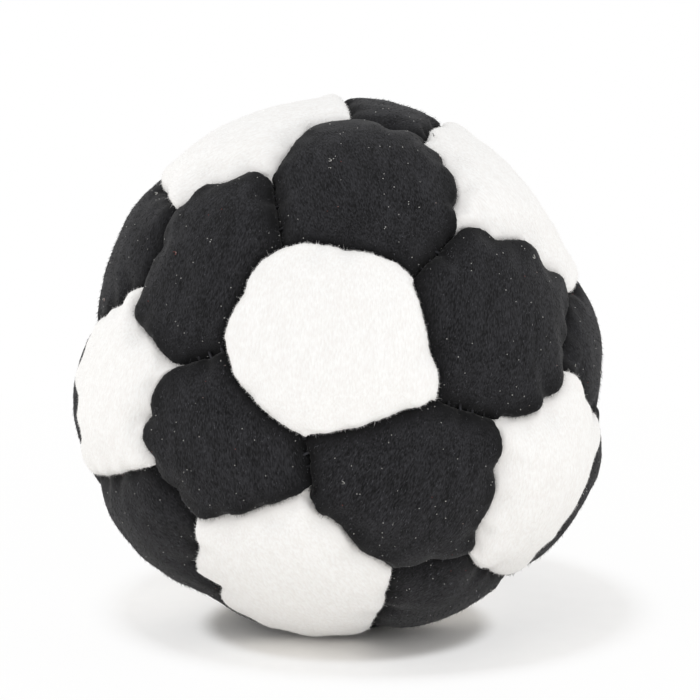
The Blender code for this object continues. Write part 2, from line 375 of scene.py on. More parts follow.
class Seam:
    """The line along which two panels are sewn, from one corner of the net to the next.

    Between two places where the thread pulls in, the panel on top bulges over the one below.
    """

    def __init__(self, start, end, over, under, middles, kinds, draw):
        self.start, self.end = start, end
        self.over, self.under = over, under
        self.overhang = OVERHANG[kinds[over]]
        grooved = kinds[over] == kinds[under] == BLACK
        self.sink = GROOVE_SINK if grooved else 0.0
        self.stand = GROOVE_STAND if grooved else 1.0
        mixed = kinds[over] == BLACK and kinds[under] == WHITE
        scallop = sizes().scallop * (1.0 if mixed else CALM_SHARE)
        normal = unit(np.cross(start, end))
        self.normal = normal if middles[over] @ normal < 0 else -normal
        self.along = unit(np.cross(normal, start))
        self.angle = math.acos(np.clip(start @ end, -1, 1))
        self.length = self.angle * fold_radius()
        count = max(2, round(self.length / sizes().stitch_spacing))
        steps = np.array([draw.uniform(0.75, 1.25) for _ in range(count)])
        self.pulls = np.concatenate([[0], np.cumsum(steps) / steps.sum()])
        self.bulges = np.array([draw.uniform(0.25, 1.0) for _ in range(count)])
        middle = unit(start + end)
        seen = [line for key, line in SEAM_LINES.items() if middle @ np.array(direction_of(*key)) > SAME_SEAM]
        if seen:
            self.knots, offsets, swells = np.array((*seen[0], (1, 0, 0)), float).T
            self.offsets, self.swells = offsets * MM, swells * MM
        else:
            self.knots = self.pulls
            inward = np.sin(np.pi * np.clip(self.pulls, 0, 1)) ** 0.5
            self.offsets = -0.5 * scallop * self.bulges.mean() * inward
            self.swells = scallop * self.bulges

    def place(self, points):
        """How far directions lie from the seam on its top side, as an angle, and the share along it."""
        away = -np.arcsin(np.clip(points @ self.normal, -1, 1))
        turn = np.arctan2(points @ self.along, points @ self.start) / self.angle
        return away, np.clip(turn, 0, 1)

    def sway(self, share):
        """How far the seam lies off its straight line, towards the panel below."""
        gap, lobe = between(self.knots, share)
        overhang = self.overhang * np.sin(np.pi * np.clip(share, 0, 1)) ** 0.5
        return overhang + np.interp(share, self.knots, self.offsets) + self.swells[gap] * lobe

    def pull(self, share):
        """How far the edge stands out of the seam between two pulls, or lies in it at a pull."""
        gap, lobe = between(self.pulls, share)
        dimples = sum(
            np.exp(-((share - knot) * self.length / sizes().dimple) ** 2) for knot in self.knots[1:-1]
        )
        sink = self.sink * np.sin(np.pi * np.clip(share, 0, 1)) ** 0.5
        return sizes().pucker * (self.stand * self.bulges[gap] * lobe - 0.5 - 0.6 * dimples) - sink


def read_net():
    """The net's panels, as a middle and a kind each, and all its seams."""
    net = corner_net()
    middles = {face.index: unit(np.array(sum((v.co for v in face.verts), Vector()))) for face in net.faces}
    kinds = {face.index: SIDES[len(face.verts)] for face in net.faces}
    draw = random.Random(DRIFT_SEED)
    seams = []
    for edge in sorted(net.edges, key=lambda e: tuple(sorted(v.index for v in e.verts))):
        over, under = sorted((face.index for face in edge.link_faces), key=lambda i: middles[i][1])
        start, end = sorted((np.array(vert.co) for vert in edge.verts), key=lambda corner: corner[0])
        seams.append(Seam(start, end, over, under, middles, kinds, draw))
    net.free()
    return middles, kinds, seams


def cage_mesh():
    """The net's panels, each divided into a weave of quads that knows its panel."""
    net = corner_net()
    number = net.faces.layers.int.new("panel")
    for face in net.faces:
        face[number] = face.index
    mesh = bpy.data.meshes.new("bag_cage")
    net.to_mesh(mesh)
    net.free()
    return divided(mesh, CAGE_LEVELS, "SIMPLE")


def divided(mesh, levels, way):
    """A mesh after Subdivision Surface."""
    obj = bpy.data.objects.new(mesh.name, mesh)
    bpy.context.scene.collection.objects.link(obj)
    halving = obj.modifiers.new("halving", "SUBSURF")
    halving.subdivision_type = way
    halving.levels = halving.render_levels = levels
    return applied(obj)


def applied(obj):
    """An object's mesh with its modifiers applied. The object is removed."""
    depsgraph = bpy.context.evaluated_depsgraph_get()
    depsgraph.update()
    made = bpy.data.meshes.new_from_object(obj.evaluated_get(depsgraph))
    mesh = obj.data
    bpy.data.objects.remove(obj)
    bpy.data.meshes.remove(mesh)
    return made


def read(mesh, what="co"):
    """A mesh's points, or one of its attributes, as an array."""
    if what == "co":
        values = np.zeros(len(mesh.vertices) * 3)
        mesh.vertices.foreach_get("co", values)
        return values.reshape(-1, 3)
    data = mesh.attributes[what].data
    if mesh.attributes[what].data_type == "FLOAT_VECTOR":
        values = np.zeros(len(data) * 3)
        data.foreach_get("vector", values)
        return values.reshape(-1, 3)
    values = np.zeros(len(data), int if mesh.attributes[what].data_type == "INT" else float)
    data.foreach_get("value", values)
    return values


def write(mesh, name, values):
    """Gives a mesh's points an attribute."""
    kind, key = ("FLOAT_VECTOR", "vector") if values.ndim == 2 else ("FLOAT", "value")
    attribute = mesh.attributes.get(name) or mesh.attributes.new(name, kind, "POINT")
    attribute.data.foreach_set(key, values.astype(np.float32).ravel())


def quads_of(mesh):
    corners = np.zeros(len(mesh.loops), int)
    mesh.loops.foreach_get("vertex_index", corners)
    return corners.reshape(-1, 4)


def sewn_cage():
    """The bag as it is sewn, before the sand presses it out: every panel crowned, puckered at its pulls."""
    middles, kinds, seams = read_net()
    mesh = cage_mesh()
    spots = unit(read(mesh))
    quads = quads_of(mesh)
    owner = read(mesh, "panel")
    shaped = np.zeros_like(spots)
    inset = np.zeros(len(spots))
    members = {}
    for panel, middle in middles.items():
        inside = np.unique(quads[owner == panel])
        members[panel] = inside
        own = [seam for seam in seams if panel in (seam.over, seam.under)]
        shaped[inside], inset[inside] = shape_panel(panel, middle, own, spots[inside])
    for seam in seams:
        shared = np.intersect1d(members[seam.over], members[seam.under])
        _, share = seam.place(spots[shared])
        shift = seam.sway(share)[:, None] / fold_radius() * seam.normal
        radius = fold_radius() + seam.pull(share)
        shaped[shared] = unit(spots[shared] + shift) * radius[:, None]
        inset[shared] = 0
    mesh.vertices.foreach_set("co", shaped.ravel())
    write(mesh, "inset", inset)
    mesh.update()
    return mesh


def shape_panel(panel, middle, seams, spots):
    """A panel's points on the round ball, and their distances from its seams."""
    fold = fold_radius()
    signs = [1 if seam.over == panel else -1 for seam in seams]
    depths = np.array([(middle @ -seam.normal) * sign for seam, sign in zip(seams, signs)])
    aways = np.array([seam.place(spots)[0] * sign for seam, sign in zip(seams, signs)])
    near = np.clip((aways / np.arcsin(depths)[:, None]).min(axis=0), 0, 1)
    crowd = np.where(near < 0.999, (1 - near ** EDGE_CROWDING) / np.maximum(1 - near, 1e-6), 1.0)
    spots = unit(middle + (spots - middle) * crowd[:, None])
    shift = np.zeros_like(spots)
    lift = np.zeros(len(spots))
    closeness = np.zeros(len(spots))
    on_top = np.zeros(len(spots))
    for seam, sign in zip(seams, signs):
        away, share = seam.place(spots)
        away = np.maximum(away * sign * fold, 0)
        weight = np.maximum(away, 1e-7) ** -4.0
        closeness += weight
        on_top += weight * (sign > 0)
        sway = seam.sway(share) * np.exp(-(away / SWAY_REACH) ** 2)
        shift += sway[:, None] / fold * seam.normal
        ridge = (away / RIPPLE_REACH) * np.exp(1 - away / RIPPLE_REACH)
        lift += seam.pull(share) * (np.exp(-(away / PULL_REACH) ** 2) + RIPPLE_SHARE * ridge)
    inset = closeness ** -0.25
    on_top /= closeness
    rolled = np.sqrt(1 - (1 - np.minimum(inset / sizes().edge_roll, 1)) ** 2)
    dipped = 1 - (1 - np.minimum(inset / sizes().edge_dip, 1)) ** DIP_POWER
    rise = on_top * rolled + (1 - on_top) * dipped
    radius = fold + sizes().seam_depth * rise + lift
    return unit(spots + shift) * radius[:, None], inset


# The cloth is worked out on a ball this many times as large, a size that its springs suit
CLOTH_SCALE = 20
CLOTH_FRAMES = 24
MOST_MOVE = 1.2 * MM


def press_out(mesh):
    """The sewn bag with the sand pressing it out: cloth a little larger than its place, held at the seams."""
    start = read(mesh)
    obj = bpy.data.objects.new("bag_cloth", mesh)
    bpy.context.scene.collection.objects.link(obj)
    held = obj.vertex_groups.new(name="held")
    held.add([int(i) for i in np.flatnonzero(read(mesh, "inset") <= 0)], 1.0, "REPLACE")
    mesh.vertices.foreach_set("co", (start * CLOTH_SCALE).ravel())
    cloth = obj.modifiers.new("suede", "CLOTH")
    cloth.settings.quality = 6
    cloth.settings.mass = 0.15
    cloth.settings.tension_stiffness = 25
    cloth.settings.compression_stiffness = 25
    cloth.settings.shear_stiffness = 8
    cloth.settings.bending_stiffness = 2.0
    cloth.settings.tension_damping = 8
    cloth.settings.compression_damping = 8
    cloth.settings.air_damping = 2
    cloth.settings.shrink_min = -0.035
    cloth.settings.use_pressure = True
    cloth.settings.uniform_pressure_force = 12
    cloth.settings.vertex_group_mass = "held"
    cloth.settings.effector_weights.gravity = 0
    cloth.collision_settings.use_collision = False
    cloth.point_cache.frame_start = 1
    cloth.point_cache.frame_end = CLOTH_FRAMES
    for number in range(1, CLOTH_FRAMES + 1):
        bpy.context.scene.frame_set(number)
    made = applied(obj)
    bpy.context.scene.frame_set(1)
    end = read(made) / CLOTH_SCALE
    move = end - start
    reach = np.linalg.norm(move, axis=1, keepdims=True)
    move *= np.minimum(1, MOST_MOVE / np.maximum(reach, 1e-9))
    inset = read(made, "inset")
    rise = (move * unit(start)).sum(axis=1)
    swell = rise[inset > 3 * MM].mean()
    end = start + move - swell * smooth(inset / (3 * MM))[:, None] * unit(start)
    made.vertices.foreach_set("co", end.ravel())
    made.update()
    return made


class FOOTBAG_OT_fill_bag(bpy.types.Operator):
    """Sew the bag from its net of seams and press it out with sand"""

    bl_idname = "footbag.fill_bag"
    bl_label = "Fill Bag"

    def execute(self, context):
        bag = sewn_cage()
        bag = press_out(bag)
        bag.name = "filled_bag"
        return {"FINISHED"}


def filled_bag():
    bag = bpy.data.meshes.get("filled_bag")
    if bag is None:
        raise RuntimeError("the bag has to be filled before its panels are made")
    return bag


def wander(points, size, seed):
    """A smooth random field, -1 to 1 each way, with features of a given size."""
    away = Vector((seed, seed, seed))
    return np.array([noise.noise_vector(Vector(point) / size + away) for point in points])


def lapping(points, panel, seams):
    """How far each point of a panel belongs to seams at which the panel lies on top, from 0 to 1."""
    near = np.zeros(len(points))
    above = np.zeros(len(points))
    for seam in seams:
        if panel in (seam.over, seam.under):
            away, share = seam.place(points)
            gap = np.abs(away * fold_radius() + seam.sway(share))
            weight = np.maximum(gap, 0.01 * MM) ** -3.0
            near += weight
            above += weight * (seam.over == panel)
    return above / near


def on_the_lines(mesh, inset, panel, seams):
    """A finely divided panel's points, its rim put exactly on the seams' lines and the rest eased after it."""
    points = read(mesh)
    quads = quads_of(mesh)
    sides = np.sort(np.stack([quads, np.roll(quads, -1, axis=1)], axis=-1).reshape(-1, 2), axis=1)
    pairs, uses = np.unique(sides, axis=0, return_counts=True)
    rim = np.unique(pairs[uses == 1])
    out = unit(points[rim])
    least = np.full(len(rim), np.inf)
    move = np.zeros((len(rim), 3))
    for seam in seams:
        if panel in (seam.over, seam.under):
            away, share = seam.place(out)
            miss = seam.sway(share) + away * fold_radius()
            nearer = np.abs(miss) < least
            least[nearer] = np.abs(miss)[nearer]
            move[nearer] = (miss[:, None] * seam.normal)[nearer]
    nearest = kdtree.KDTree(len(rim))
    for number, spot in enumerate(points[rim]):
        nearest.insert(spot, number)
    nearest.balance()
    moved = points.copy()
    for number in np.setdiff1d(np.flatnonzero(inset < 2.5 * LINE_REACH), rim):
        found = [row[1] for row in nearest.find_n(points[number], 3)]
        moved[number] += move[found].mean(axis=0) * math.exp(-(inset[number] / LINE_REACH) ** 2)
    moved[rim] += move
    return moved


def outer_surface(bag, panel, kind, seams):
    """A panel's outer surface on the round ball, from fold to fold."""
    quads = quads_of(bag)[read(bag, "panel") == panel]
    used, faces = np.unique(quads, return_inverse=True)
    mesh = bpy.data.meshes.new("outer_surface")
    mesh.from_pydata(read(bag)[used].tolist(), [], faces.reshape(-1, 4).tolist())
    write(mesh, "inset", read(bag, "inset")[used])
    fine = divided(mesh, FINE_LEVELS, "CATMULL_CLARK")
    inset = np.maximum(read(fine, "inset"), 0)
    points = on_the_lines(fine, inset, panel, seams)
    out = unit(points)
    middle = unit(points.mean(axis=0))
    on_top = lapping(out, panel, seams)
    fold = sizes().fold_round * (1 - CRISP_SHARE * on_top)
    near = 1 - np.minimum(inset / fold, 1)
    drop = fold * (1 - np.sqrt(1 - near ** 2)) * 0.6
    lap = LAP_RISE * on_top * np.exp(-(inset / LAP_REACH) ** 2)
    inward = middle - (out @ middle)[:, None] * out
    inward = unit(inward + 1e-9)
    gap = sizes().seam_gap / 2 * np.clip(1 - inset / (0.6 * MM), 0, 1)
    fray = FRAY * np.exp(-(inset / (0.5 * MM)) ** 2)[:, None] * wander(points, FRAY_SPACING, 3)
    soft = 0.10 * MM * smooth(inset / (1.5 * MM))[:, None] * out * wander(points, 1.8 * MM, 9)[:, :1]
    across = unit(np.cross(middle, (0, 0, 1)))
    up = np.cross(across, middle)
    turn = random.Random(panel).uniform(-0.5, 0.5)
    brushed = math.cos(turn) * up + math.sin(turn) * across
    flat = np.column_stack([points @ across, points @ up, points @ middle])
    grain = np.array(Matrix.Rotation(turn, 3, "Z")) @ flat.T
    points = points + out * (lap - drop)[:, None] + inward * gap[:, None] + fray + soft
    fine.vertices.foreach_set("co", points.ravel())
    write(fine, "inset", inset)
    write(fine, "outward", -inward)
    write(fine, "brushed", np.tile(-brushed, (len(points), 1)))
    # The pressed attribute is painted shade beside the seams, lighter at a white panel's upper edge
    unshaded = UPPER_EDGE_UNSHADED * on_top if kind == WHITE else 0
    write(fine, "pressed", (1 - unshaded) * np.exp(-(inset / SEAM_SHADE_REACH) ** 2))
    write(fine, "grain", grain.T + panel)
    fine.update()
    return fine


def node_of(kind, middle):
    """The frame's panel that lies in a direction."""
    word = "pentagon" if kind == WHITE else "hexagon"
    ways = {
        name: unit(read(node.data).mean(axis=0) - np.array(ball_middle()))
        for name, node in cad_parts.items() if name.startswith(word)
    }
    return max(ways, key=lambda name: ways[name] @ middle)


def make_panel(bag, panel, kind, middle, seams, finish):
    """One sewn panel: its crown, its folded edges and the allowance turned in below them."""
    surface = outer_surface(bag, panel, kind, seams)
    bm = bmesh.new()
    bm.from_mesh(surface)
    edges = [edge for edge in bm.edges if edge.is_boundary]
    for depth in (0.3 * MM, 0.5 * MM, sizes().allowance - 0.8 * MM):
        grown = bmesh.ops.extrude_edge_only(bm, edges=edges)["geom"]
        edges = [item for item in grown if isinstance(item, bmesh.types.BMEdge)]
        for vert in (item for item in grown if isinstance(item, bmesh.types.BMVert)):
            vert.co -= vert.co.normalized() * depth
    bmesh.ops.recalc_face_normals(bm, faces=bm.faces)
    bm.normal_update()
    bm.verts.ensure_lookup_table()
    if sum(vert.normal.dot(vert.co) for vert in bm.verts) < 0:
        bmesh.ops.reverse_faces(bm, faces=bm.faces)
    node = node_of(kind, middle)
    name = f"{kind}_panel_{node[-2:]}"
    mesh = bpy.data.meshes.new(name)
    bm.to_mesh(mesh)
    bm.free()
    points = read(mesh)
    mesh.vertices.foreach_set("co", settled(points).ravel())
    mesh.shade_smooth()
    mesh.materials.append(finish)
    obj = bpy.data.objects.new(name, mesh)
    bpy.context.scene.collection.objects.link(obj)
    thickness = obj.modifiers.new("thickness", "SOLIDIFY")
    thickness.thickness = sizes().suede_thickness
    thickness.offset = -1.0
    mesh = applied(obj)
    mesh.name = name
    points = read(mesh)
    points[:, 2] = np.maximum(points[:, 2], 0)
    mesh.vertices.foreach_set("co", points.ravel())
    obj = bpy.data.objects.new(name, mesh)
    bpy.context.scene.collection.objects.link(obj)
    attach(obj, "root")
    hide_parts(node)
    width, height, area = cut_size(bag, panel)
    return surface


def cut_size(bag, panel):
    """The width, length and area of the flat piece that a panel was cut from, its allowance included."""
    quads = quads_of(bag)[read(bag, "panel") == panel]
    used = np.unique(quads)
    points = read(bag)[used]
    rim = points[read(bag, "inset")[used] <= 0]
    middle = unit(points.mean(axis=0))
    across = unit(np.cross(middle, (0, 0, 1)))
    up = np.cross(middle, across)
    out = unit(rim)
    turn = np.arccos(np.clip(out @ middle, -1, 1)) * ball_radius() + sizes().allowance
    way = np.arctan2(out @ up, out @ across)
    order = np.argsort(way)
    x, y = (turn * np.cos(way))[order], (turn * np.sin(way))[order]
    area = abs((x * np.roll(y, -1) - y * np.roll(x, -1)).sum()) / 2
    return float(np.ptp(x)), float(np.ptp(y)), float(area)


def make_panels(kind, finish):
    bag = filled_bag()
    middles, kinds, seams = read_net()
    all_surfaces = bmesh.new()
    for panel, middle in middles.items():
        if kinds[panel] == kind:
            surface = make_panel(bag, panel, kind, middle, seams, finish)
            surface.vertices.foreach_set("co", settled(read(surface)).ravel())
            all_surfaces.from_mesh(surface)
            bpy.data.meshes.remove(surface)
    joined = bpy.data.meshes.new(f"{kind}_surface")
    all_surfaces.to_mesh(joined)
    all_surfaces.free()


def add_node(tree, kind, inputs=None, **settings):
    """Adds a node with its settings. An input is a value, or another node's output to link."""
    node = tree.nodes.new(kind)
    for name, value in settings.items():
        setattr(node, name, value)
    for key, value in (inputs or {}).items():
        if isinstance(value, bpy.types.NodeSocket):
            tree.links.new(value, node.inputs[key])
        else:
            node.inputs[key].default_value = value
    return node


def matt(name, base, shade, roughness, pattern, relief=0.0):
    """A matt finish. Its pattern says where its colour goes from base to shade, and how high it stands."""
    made = bpy.data.materials.new(name)
    made.use_nodes = True
    tree = made.node_tree
    shader = tree.nodes["Principled BSDF"]
    share, height = pattern(tree)
    mix = add_node(tree, "ShaderNodeMix", {0: share, 6: (*base, 1), 7: (*shade, 1)}, data_type="RGBA")
    tree.links.new(mix.outputs[2], shader.inputs["Base Color"])
    if relief:
        bump = add_node(tree, "ShaderNodeBump", {"Height": height, "Strength": 1.0, "Distance": relief})
        tree.links.new(bump.outputs[0], shader.inputs["Normal"])
    shader.inputs["Roughness"].default_value = roughness
    shader.inputs["Specular IOR Level"].default_value = MATT_SPECULAR
    return made


def suede(name, pressed, raised, nap, relief, sheen):
    """Synthetic suede, microfibre felt with a brushed nap: dull and finely streaked, with painted shade
    darkening its colour beside the seams.
    """
    def brushed(tree):
        grain = add_node(tree, "ShaderNodeAttribute", attribute_name="grain").outputs["Vector"]
        lie = add_node(tree, "ShaderNodeMapping", {"Vector": grain, "Scale": NAP_LIE}).outputs[0]
        streaks, clouds = (
            add_node(
                tree, "ShaderNodeTexNoise", {"Vector": lie, "Scale": 1 / size, "Detail": 1.0},
            ).outputs["Fac"]
            for size in (nap, CLOUD_SIZE)
        )
        both = add_node(
            tree, "ShaderNodeMath", {0: clouds, 1: CLOUD_SHARE, 2: streaks}, operation="MULTIPLY_ADD",
        ).outputs[0]
        stretched = add_node(
            tree, "ShaderNodeMapRange", {"Value": both, "From Min": 0.45, "From Max": 0.85},
        ).outputs[0]
        # The pressed attribute darkens the nap's colour beside the seams: painted shade
        flat = add_node(tree, "ShaderNodeAttribute", attribute_name="pressed").outputs["Fac"]
        unshaded = add_node(tree, "ShaderNodeMath", {0: 1.0, 1: flat}, operation="SUBTRACT").outputs[0]
        share = add_node(
            tree, "ShaderNodeMath", {0: stretched, 1: unshaded}, operation="MULTIPLY",
        ).outputs[0]
        return share, share

    made = matt(name, pressed, raised, 1.0, brushed, relief)
    shader = made.node_tree.nodes["Principled BSDF"]
    shader.inputs["Sheen Weight"].default_value = sheen
    shader.inputs["Sheen Roughness"].default_value = SHEEN_ROUGHNESS
    return made


def noise_of(size, low=0.35, high=0.65):
    """A pattern of soft spots of a real size, fixed in the piece."""
    def pattern(tree):
        place = add_node(tree, "ShaderNodeTexCoord").outputs["Object"]
        spots = add_node(
            tree, "ShaderNodeTexNoise", {"Vector": place, "Scale": 1 / size, "Detail": 2.0},
        ).outputs["Fac"]
        share = add_node(
            tree, "ShaderNodeMapRange", {"Value": spots, "From Min": low, "From Max": high},
        ).outputs[0]
        return share, share
    return pattern


def fibre(name, base, tips, low):
    """Microfibre ends: the suede's own colour, each bundle a little paler or darker than the next."""
    return matt(name, base, tips, 1.0, noise_of(FIBRE_BUNDLE, low, 0.75))


def cotton_lint(name):
    """Cotton lint and dust: off-white, dull, a few bits of it tinged with red."""
    return matt(name, colours().lint, colours().red_lint, 0.9, noise_of(LINT_SPACING, 0.6, 0.64))


def waxed_thread(name):
    """Waxed nylon thread, two plies twisted together: dark, with a soft shine on each ply."""
    def plies(tree):
        place = add_node(tree, "ShaderNodeTexCoord").outputs["Object"]
        twist = add_node(
            tree, "ShaderNodeTexWave",
            {"Vector": place, "Scale": WAVES_A_METRE / PLY_WIDTH, "Distortion": 1.5, "Detail": 1.0},
            bands_direction="DIAGONAL",
        ).outputs["Fac"]
        return twist, twist

    return matt(name, colours().thread, colours().thread_shine, 0.5, plies, PLY_RELIEF)


def dry_sand(name):
    """Dry washed sand: rounded grains, tan to brown, each with its own tone."""
    def grains(tree):
        place = add_node(tree, "ShaderNodeTexCoord").outputs["Object"]
        cells = add_node(tree, "ShaderNodeTexVoronoi", {"Vector": place, "Scale": 1 / SAND_GRAIN}).outputs
        tone = add_node(tree, "ShaderNodeSeparateColor", {0: cells["Color"]}).outputs[0]
        return tone, cells["Distance"]

    return matt(name, colours().sand, colours().dark_sand, 0.85, grains, -GRAIN_RELIEF)


def painted_board(name):
    """A board in matt white paint, roller-marked. The camera sees pure white where no shadow reaches."""
    made = matt(name, colours().floor, colours().floor_mark, 0.9, noise_of(ROLLER_MARK))
    tree = made.node_tree
    place = add_node(tree, "ShaderNodeTexCoord").outputs["Object"]
    paled = None
    for middle, stretch, (near, far), most in FLOOR_PALES:
        moved = add_node(tree, "ShaderNodeVectorMath", {0: place, 1: middle}, operation="SUBTRACT").outputs[0]
        shaped = add_node(
            tree, "ShaderNodeVectorMath", {0: moved, 1: stretch}, operation="MULTIPLY",
        ).outputs[0]
        away = add_node(tree, "ShaderNodeVectorMath", {0: shaped}, operation="LENGTH").outputs["Value"]
        share = add_node(
            tree, "ShaderNodeMapRange", {"Value": away, "From Min": near, "From Max": far, "To Max": most},
            interpolation_type="SMOOTHSTEP",
        ).outputs[0]
        paled = share if paled is None else add_node(
            tree, "ShaderNodeMath", {0: paled, 1: share}, operation="MAXIMUM",
        ).outputs[0]
    seen = add_node(tree, "ShaderNodeMath", {0: paled, 1: seen_straight(tree)}, operation="MULTIPLY").outputs[0]
    white = add_node(tree, "ShaderNodeEmission", {"Color": (1, 1, 1, 1), "Strength": 1.0}).outputs[0]
    paint = tree.nodes["Principled BSDF"].outputs[0]
    mixed = add_node(tree, "ShaderNodeMixShader", {0: seen, 1: paint, 2: white}).outputs[0]
    tree.links.new(mixed, tree.nodes["Material Output"].inputs["Surface"])
    return made


def seen_straight(tree):
    """1 for what the camera sees straight on, mirrored or through glass, and 0 for light on its way."""
    path = add_node(tree, "ShaderNodeLightPath").outputs
    mirrored = add_node(
        tree, "ShaderNodeMath", {0: path["Is Camera Ray"], 1: path["Is Glossy Ray"]}, operation="MAXIMUM",
    ).outputs[0]
    return add_node(
        tree, "ShaderNodeMath", {0: mirrored, 1: path["Is Transmission Ray"]}, operation="MAXIMUM",
    ).outputs[0]


class FOOTBAG_OT_thread(bpy.types.Operator):
    """Sew the turned-in edges together: one thread wound over the ridge of every seam"""

    bl_idname = "footbag.thread"
    bl_label = "Thread"

    def execute(self, context):
        middles, kinds, seams = read_net()
        ridge = fold_radius() - sizes().allowance + RIDGE_RISE
        bm = bmesh.new()
        for seam in seams:
            share = np.linspace(0.04, 0.96, 13)
            turn = share[:, None] * seam.angle
            spots = seam.start * np.cos(turn) + seam.along * np.sin(turn)
            spots = unit(spots + seam.sway(share)[:, None] / fold_radius() * seam.normal) * ridge
            verts = [bm.verts.new(spot) for spot in settled(spots)]
            for one, two in zip(verts, verts[1:]):
                bm.edges.new((one, two))
        mesh = bpy.data.meshes.new("seam_lines")
        bm.to_mesh(mesh)
        bm.free()
        made = grow("overcast_thread", mesh, thread_tree(), {
            "Stitch Length": STITCH_LENGTH, "Half Width": STITCH_HALF_WIDTH,
            "Half Height": STITCH_HALF_HEIGHT, "Thread": THREAD_DIAMETER,
            "Finish": waxed_thread("waxed_thread")})
        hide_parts("seam_thread")
        return {"FINISHED"}


def thread_tree():
    """Winds a thread round every line, one turn for each stitch."""
    tree, given, result = tree_with("overcast", {
        "Stitch Length": "Float", "Half Width": "Float", "Half Height": "Float", "Thread": "Float",
        "Finish": "Material",
    })
    step = add_node(
        tree, "ShaderNodeMath", {0: given["Stitch Length"], 1: POINTS_A_STITCH}, operation="DIVIDE",
    ).outputs[0]
    line = add_node(tree, "GeometryNodeMeshToCurve", {"Mesh": given["Geometry"]}).outputs[0]
    fine = add_node(tree, "GeometryNodeResampleCurve", {"Curve": line, "Length": step}, mode="LENGTH")
    along = add_node(tree, "GeometryNodeSplineParameter").outputs["Length"]
    stitches = add_node(
        tree, "ShaderNodeMath", {0: along, 1: given["Stitch Length"]}, operation="DIVIDE",
    ).outputs[0]
    angle = add_node(tree, "ShaderNodeMath", {0: stitches, 1: 2 * math.pi}, operation="MULTIPLY").outputs[0]
    place = add_node(tree, "GeometryNodeInputPosition").outputs[0]
    spoke = add_node(
        tree, "ShaderNodeVectorMath", {0: place, 1: ball_middle()}, operation="SUBTRACT",
    ).outputs[0]
    out = add_node(tree, "ShaderNodeVectorMath", {0: spoke}, operation="NORMALIZE").outputs[0]
    tangent = add_node(tree, "GeometryNodeInputTangent").outputs[0]
    across = add_node(
        tree, "ShaderNodeVectorMath", {0: tangent, 1: out}, operation="CROSS_PRODUCT",
    ).outputs[0]
    offset = None
    for operation, reach, way in (("COSINE", "Half Height", out), ("SINE", "Half Width", across)):
        wave = add_node(tree, "ShaderNodeMath", {0: angle}, operation=operation).outputs[0]
        size = add_node(tree, "ShaderNodeMath", {0: wave, 1: given[reach]}, operation="MULTIPLY").outputs[0]
        part = add_node(tree, "ShaderNodeVectorMath", {0: way, "Scale": size}, operation="SCALE").outputs[0]
        offset = part if offset is None else add_node(
            tree, "ShaderNodeVectorMath", {0: offset, 1: part}, operation="ADD",
        ).outputs[0]
    wound = add_node(
        tree, "GeometryNodeSetPosition", {"Geometry": fine.outputs[0], "Offset": offset},
    ).outputs[0]
    half = add_node(tree, "ShaderNodeMath", {0: given["Thread"], 1: 0.5}, operation="MULTIPLY").outputs[0]
    ring = add_node(
        tree, "GeometryNodeCurvePrimitiveCircle", {"Resolution": 5, "Radius": half},
    ).outputs[0]
    strand = add_node(
        tree, "GeometryNodeCurveToMesh", {"Curve": wound, "Profile Curve": ring, "Fill Caps": True},
    ).outputs[0]
    finish_tree(tree, strand, given, result)
    return tree


def finish_tree(tree, geometry, given, result):
    """Ends a tree: its instances made real, with their material."""
    real = add_node(tree, "GeometryNodeRealizeInstances", {"Geometry": geometry}).outputs[0]
    finished = add_node(
        tree, "GeometryNodeSetMaterial", {"Geometry": real, "Material": given["Finish"]},
    ).outputs[0]
    tree.links.new(finished, result[0])


class FOOTBAG_OT_sand(bpy.types.Operator):
    """Pour in the sand, which fills every panel up to its inner face and dips below every seam"""

    bl_idname = "footbag.sand"
    bl_label = "Sand"

    def execute(self, context):
        mesh = divided(filled_bag().copy(), 1, "CATMULL_CLARK")
        mesh.name = "sand"
        points = read(mesh)
        inset = read(mesh, "inset")
        clear = sizes().suede_thickness + SAND_GAP
        foot = fold_radius() - sizes().allowance - SAND_DIP
        wall = smooth((inset - clear) / SAND_WALL)
        out = unit(points)
        radius = foot + (np.linalg.norm(points, axis=1) - clear - foot) * wall
        radius += 0.5 * SAND_GRAIN * wander(points, SAND_GRAIN, 17)[:, 0]
        mesh.vertices.foreach_set("co", settled(out * radius[:, None], floor=clear).ravel())
        mesh.materials.clear()
        mesh.materials.append(dry_sand("dry_sand"))
        mesh.shade_smooth()
        obj = bpy.data.objects.new("sand", mesh)
        context.scene.collection.objects.link(obj)
        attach(obj, "root")
        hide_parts("sand_fill")
        return {"FINISHED"}


def tree_with(name, inputs):
    """A node tree for a Geometry Nodes modifier, with its named inputs."""
    tree = bpy.data.node_groups.new(name, "GeometryNodeTree")
    tree.interface.new_socket("Geometry", in_out="INPUT", socket_type="NodeSocketGeometry")
    for label, kind in inputs.items():
        tree.interface.new_socket(label, in_out="INPUT", socket_type=f"NodeSocket{kind}")
    tree.interface.new_socket("Geometry", in_out="OUTPUT", socket_type="NodeSocketGeometry")
    return tree, tree.nodes.new("NodeGroupInput").outputs, tree.nodes.new("NodeGroupOutput").inputs


